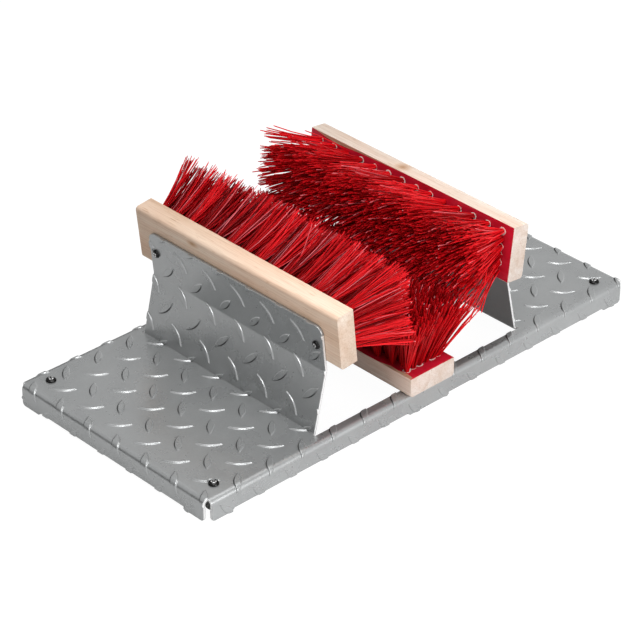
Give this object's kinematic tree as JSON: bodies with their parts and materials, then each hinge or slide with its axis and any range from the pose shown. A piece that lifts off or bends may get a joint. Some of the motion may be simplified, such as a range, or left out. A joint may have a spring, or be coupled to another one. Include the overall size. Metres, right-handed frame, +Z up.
{
  "type": "boot scraper",
  "caption": "Free-standing boot scraper: a folded tread plate whose bent-up tabs hold two side brushes over a floor brush, so a boot sole is pulled through between them.",
  "frame": {"origin": "on the ground, under the middle of the plate (centre of the bounding box's bottom face)", "axes": "+X along the plate, across the direction in which a boot is pulled; +Y from the front edge to the back edge, along the brushes; +Z up"},
  "size_m": [0.6026, 0.317, 0.189],
  "materials": {
    "plate": "galvanised, matte",
    "wood": "planed, unfinished",
    "bristle": "red synthetic bristle on a red painted face",
    "rubber": "matte pale grey",
    "steel": "zinc plated"
  },
  "bodies": {
    "root": {"base_plate": "plate", "left_brush_block": "wood", "right_brush_block": "wood", "floor_brush_block": "wood", "left_bristles": "bristle", "right_bristles": "bristle", "floor_bristles": "bristle", "left_brush_screw_front": "steel", "left_brush_screw_back": "steel", "right_brush_screw_front": "steel", "right_brush_screw_back": "steel", "floor_brush_screw_front": "steel", "floor_brush_screw_back": "steel", "corner_screw_front_left": "steel", "corner_screw_back_left": "steel", "corner_screw_front_right": "steel", "corner_screw_back_right": "steel", "rubber_foot_front_left": "rubber", "rubber_foot_back_left": "rubber", "rubber_foot_front_right": "rubber", "rubber_foot_back_right": "rubber", "foot_washer_front_left": "steel", "foot_washer_back_left": "steel", "foot_washer_front_right": "steel", "foot_washer_back_right": "steel", "foot_nut_front_left": "steel", "foot_nut_back_left": "steel", "foot_nut_front_right": "steel", "foot_nut_back_right": "steel"}
  },
  "joints": []
}
